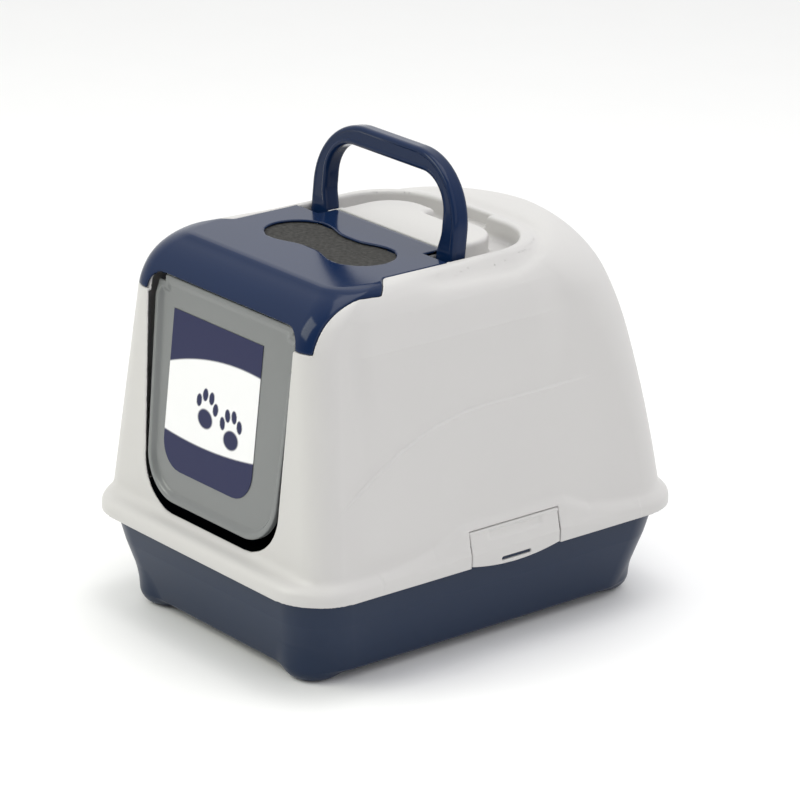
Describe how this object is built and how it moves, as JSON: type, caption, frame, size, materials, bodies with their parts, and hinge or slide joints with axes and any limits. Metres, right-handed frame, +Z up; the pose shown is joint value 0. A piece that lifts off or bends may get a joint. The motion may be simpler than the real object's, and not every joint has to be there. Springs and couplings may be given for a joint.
{
  "type": "hooded cat litter box",
  "caption": "Hooded cat litter box: tray on feet, lift-off hood with side clips, flip-up vented cover with filter, swing door and fold-down handle.",
  "frame": {"origin": "on the floor under the middle of the rim", "axes": "+Z up, the door faces -Y, +X to the right when looking from the door towards the rear"},
  "size_m": [0.386, 0.5, 0.4912],
  "materials": {
    "tray": "satin navy polypropylene",
    "hood": "satin off-white polypropylene",
    "cover": "glossy navy polypropylene",
    "handle": "glossy navy polypropylene",
    "door": "smoke-grey translucent polypropylene",
    "filter": "carbon-filled fibre pad",
    "label": "printed film with plain bands and paw prints"
  },
  "bodies": {
    "tray": {"tray": "tray"},
    "hood": {"hood": "hood"},
    "cover": {"flip_cover": "cover", "carbon_filter": "filter", "filter_retainer": "cover"},
    "door": {"swing_door": "door", "door_label": "label"},
    "handle": {"carry_handle": "handle"},
    "clip_right": {"clip_right": "hood"},
    "clip_left": {"clip_left": "hood"}
  },
  "joints": [
    {"name": "hood_lift", "type": "slide", "parent": "tray", "child": "hood", "axis": [0, 0, 1], "range_m": [0, 0.15]},
    {"name": "cover_flip", "type": "hinge", "parent": "hood", "child": "cover", "pos_m": [0, -0.002, 0.3918], "axis": [-1, 0, 0], "range_deg": [0, 45]},
    {"name": "door_swing", "type": "hinge", "parent": "cover", "child": "door", "pos_m": [0, -0.1985, 0.364], "axis": [-1, 0, 0], "range_deg": [-75, 45]},
    {"name": "handle_fold", "type": "hinge", "parent": "hood", "child": "handle", "pos_m": [0, -0.004, 0.384], "axis": [-1, 0, 0], "range_deg": [0, 84]},
    {"name": "clip_right_swing", "type": "hinge", "parent": "hood", "child": "clip_right", "pos_m": [0.1858, 0.0115, 0.1345], "axis": [0, -1, 0], "range_deg": [0, 95]},
    {"name": "clip_left_swing", "type": "hinge", "parent": "hood", "child": "clip_left", "pos_m": [-0.1858, 0.0115, 0.1345], "axis": [0, 1, 0], "range_deg": [0, 95]}
  ]
}
